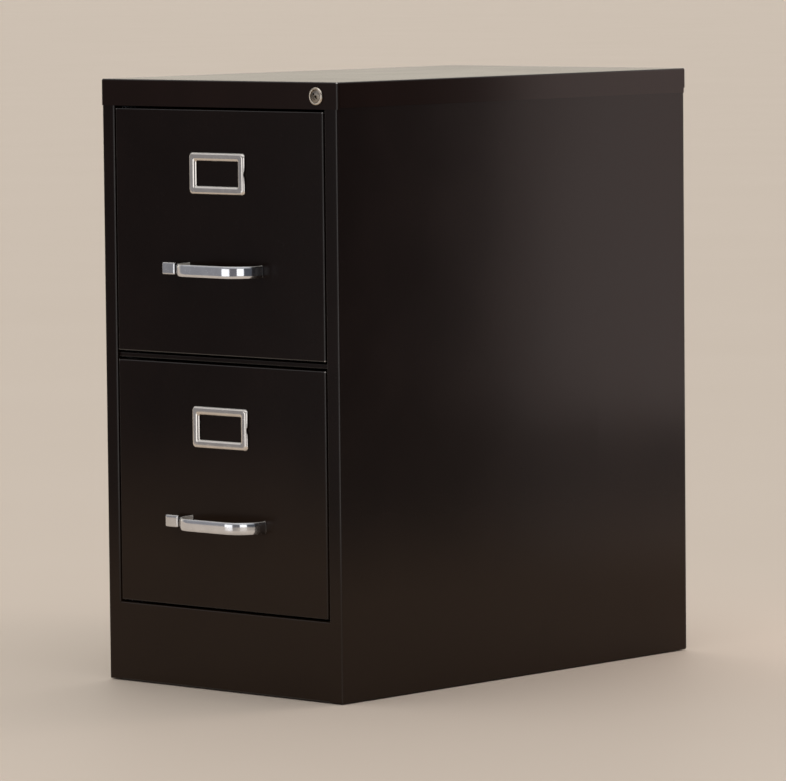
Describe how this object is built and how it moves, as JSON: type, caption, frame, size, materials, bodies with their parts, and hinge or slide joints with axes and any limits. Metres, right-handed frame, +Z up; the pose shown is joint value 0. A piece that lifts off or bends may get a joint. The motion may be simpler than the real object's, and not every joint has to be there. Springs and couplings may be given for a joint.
{
  "type": "filing cabinet",
  "caption": "Vertical steel filing cabinet with stacked drawers on ball slides, bow handles, sliding thumb latches, label holders, follower plates and a key lock.",
  "frame": {"origin": "on the floor, under the middle of the box that the case and the handles fill", "axes": "+Z up, front towards -Y, +X to the right seen from the front"},
  "size_m": [0.381, 0.6736, 0.721],
  "materials": {
    "black_paint": "semi-gloss baked enamel on sheet steel",
    "chrome": "polished chrome plating",
    "nickel": "worn nickel plating",
    "zinc_steel": "bright zinc plating on steel",
    "nylon": "moulded nylon"
  },
  "bodies": {
    "case": {"left_side_panel": "black_paint", "right_side_panel": "black_paint", "back_panel": "black_paint", "top_cap": "black_paint", "toe_panel": "black_paint", "middle_rail": "black_paint", "front_left_upright": "zinc_steel", "front_right_upright": "zinc_steel", "rear_left_upright": "zinc_steel", "rear_right_upright": "zinc_steel", "front_left_glide": "nylon", "front_right_glide": "nylon", "rear_left_glide": "nylon", "rear_right_glide": "nylon", "lock_housing": "nickel", "upper_left_outer_slide": "zinc_steel", "upper_right_outer_slide": "zinc_steel", "lower_left_outer_slide": "zinc_steel", "lower_right_outer_slide": "zinc_steel"},
    "lock": {"lock_plug": "nickel", "lock_cam": "zinc_steel"},
    "lock_bar": {"lock_bar": "zinc_steel"},
    "upper_drawer": {"upper_drawer_front": "black_paint", "upper_drawer_liner": "black_paint", "upper_drawer_tray": "black_paint", "upper_drawer_back": "black_paint", "upper_handle": "chrome", "upper_label_holder": "chrome", "upper_follower_rail": "zinc_steel", "upper_left_inner_slide": "zinc_steel", "upper_right_inner_slide": "zinc_steel", "upper_latch_spring": "zinc_steel"},
    "upper_latch": {"upper_thumb_latch": "chrome", "upper_latch_bolt": "zinc_steel"},
    "upper_follower": {"upper_follower_plate": "black_paint"},
    "upper_left_middle": {"upper_left_middle_slide": "zinc_steel"},
    "upper_left_outer_cage": {"upper_left_outer_cage": "zinc_steel"},
    "upper_left_inner_cage": {"upper_left_inner_cage": "zinc_steel"},
    "upper_right_middle": {"upper_right_middle_slide": "zinc_steel"},
    "upper_right_outer_cage": {"upper_right_outer_cage": "zinc_steel"},
    "upper_right_inner_cage": {"upper_right_inner_cage": "zinc_steel"},
    "lower_drawer": {"lower_drawer_front": "black_paint", "lower_drawer_liner": "black_paint", "lower_drawer_tray": "black_paint", "lower_drawer_back": "black_paint", "lower_handle": "chrome", "lower_label_holder": "chrome", "lower_follower_rail": "zinc_steel", "lower_left_inner_slide": "zinc_steel", "lower_right_inner_slide": "zinc_steel", "lower_latch_spring": "zinc_steel"},
    "lower_latch": {"lower_thumb_latch": "chrome", "lower_latch_bolt": "zinc_steel"},
    "lower_follower": {"lower_follower_plate": "black_paint"},
    "lower_left_middle": {"lower_left_middle_slide": "zinc_steel"},
    "lower_left_outer_cage": {"lower_left_outer_cage": "zinc_steel"},
    "lower_left_inner_cage": {"lower_left_inner_cage": "zinc_steel"},
    "lower_right_middle": {"lower_right_middle_slide": "zinc_steel"},
    "lower_right_outer_cage": {"lower_right_outer_cage": "zinc_steel"},
    "lower_right_inner_cage": {"lower_right_inner_cage": "zinc_steel"}
  },
  "joints": [
    {"name": "lock_turn", "type": "hinge", "parent": "case", "child": "lock", "pos_m": [0.1585, -0.29815, 0.7046], "axis": [0, -1, 0], "range_deg": [0, 90]},
    {"name": "lock_bar_lift", "type": "slide", "parent": "case", "child": "lock_bar", "axis": [0, 0, 1], "range_m": [0, 0.01414]},
    {"name": "upper_drawer_slide", "type": "slide", "parent": "case", "child": "upper_drawer", "axis": [0, -1, 0], "range_m": [0, 0.55]},
    {"name": "upper_latch_slide", "type": "slide", "parent": "upper_drawer", "child": "upper_latch", "axis": [1, 0, 0], "range_m": [0, 0.006], "stiffness_N_per_m": 250, "springref_m": -0.006, "deforming": ["upper_latch_spring"]},
    {"name": "upper_follower_slide", "type": "slide", "parent": "upper_drawer", "child": "upper_follower", "axis": [0, -1, 0], "range_m": [0, 0.44]},
    {"name": "upper_left_middle_slide", "type": "slide", "parent": "case", "child": "upper_left_middle", "axis": [0, -1, 0], "range_m": [0, 0.275]},
    {"name": "upper_left_outer_cage_slide", "type": "slide", "parent": "case", "child": "upper_left_outer_cage", "axis": [0, -1, 0], "range_m": [0, 0.1375]},
    {"name": "upper_left_inner_cage_slide", "type": "slide", "parent": "case", "child": "upper_left_inner_cage", "axis": [0, -1, 0], "range_m": [0, 0.4125]},
    {"name": "upper_right_middle_slide", "type": "slide", "parent": "case", "child": "upper_right_middle", "axis": [0, -1, 0], "range_m": [0, 0.275]},
    {"name": "upper_right_outer_cage_slide", "type": "slide", "parent": "case", "child": "upper_right_outer_cage", "axis": [0, -1, 0], "range_m": [0, 0.1375]},
    {"name": "upper_right_inner_cage_slide", "type": "slide", "parent": "case", "child": "upper_right_inner_cage", "axis": [0, -1, 0], "range_m": [0, 0.4125]},
    {"name": "lower_drawer_slide", "type": "slide", "parent": "case", "child": "lower_drawer", "axis": [0, -1, 0], "range_m": [0, 0.55]},
    {"name": "lower_latch_slide", "type": "slide", "parent": "lower_drawer", "child": "lower_latch", "axis": [1, 0, 0], "range_m": [0, 0.006], "stiffness_N_per_m": 250, "springref_m": -0.006, "deforming": ["lower_latch_spring"]},
    {"name": "lower_follower_slide", "type": "slide", "parent": "lower_drawer", "child": "lower_follower", "axis": [0, -1, 0], "range_m": [0, 0.44]},
    {"name": "lower_left_middle_slide", "type": "slide", "parent": "case", "child": "lower_left_middle", "axis": [0, -1, 0], "range_m": [0, 0.275]},
    {"name": "lower_left_outer_cage_slide", "type": "slide", "parent": "case", "child": "lower_left_outer_cage", "axis": [0, -1, 0], "range_m": [0, 0.1375]},
    {"name": "lower_left_inner_cage_slide", "type": "slide", "parent": "case", "child": "lower_left_inner_cage", "axis": [0, -1, 0], "range_m": [0, 0.4125]},
    {"name": "lower_right_middle_slide", "type": "slide", "parent": "case", "child": "lower_right_middle", "axis": [0, -1, 0], "range_m": [0, 0.275]},
    {"name": "lower_right_outer_cage_slide", "type": "slide", "parent": "case", "child": "lower_right_outer_cage", "axis": [0, -1, 0], "range_m": [0, 0.1375]},
    {"name": "lower_right_inner_cage_slide", "type": "slide", "parent": "case", "child": "lower_right_inner_cage", "axis": [0, -1, 0], "range_m": [0, 0.4125]}
  ],
  "couplings": [
    {"joint": "lock_turn", "follows": "lock_bar_lift", "rad_per_m": 111.08},
    {"joint": "upper_left_middle_slide", "follows": "upper_drawer_slide", "ratio": 0.5},
    {"joint": "upper_left_outer_cage_slide", "follows": "upper_drawer_slide", "ratio": 0.25},
    {"joint": "upper_left_inner_cage_slide", "follows": "upper_drawer_slide", "ratio": 0.75},
    {"joint": "upper_right_middle_slide", "follows": "upper_drawer_slide", "ratio": 0.5},
    {"joint": "upper_right_outer_cage_slide", "follows": "upper_drawer_slide", "ratio": 0.25},
    {"joint": "upper_right_inner_cage_slide", "follows": "upper_drawer_slide", "ratio": 0.75},
    {"joint": "lower_left_middle_slide", "follows": "lower_drawer_slide", "ratio": 0.5},
    {"joint": "lower_left_outer_cage_slide", "follows": "lower_drawer_slide", "ratio": 0.25},
    {"joint": "lower_left_inner_cage_slide", "follows": "lower_drawer_slide", "ratio": 0.75},
    {"joint": "lower_right_middle_slide", "follows": "lower_drawer_slide", "ratio": 0.5},
    {"joint": "lower_right_outer_cage_slide", "follows": "lower_drawer_slide", "ratio": 0.25},
    {"joint": "lower_right_inner_cage_slide", "follows": "lower_drawer_slide", "ratio": 0.75}
  ]
}
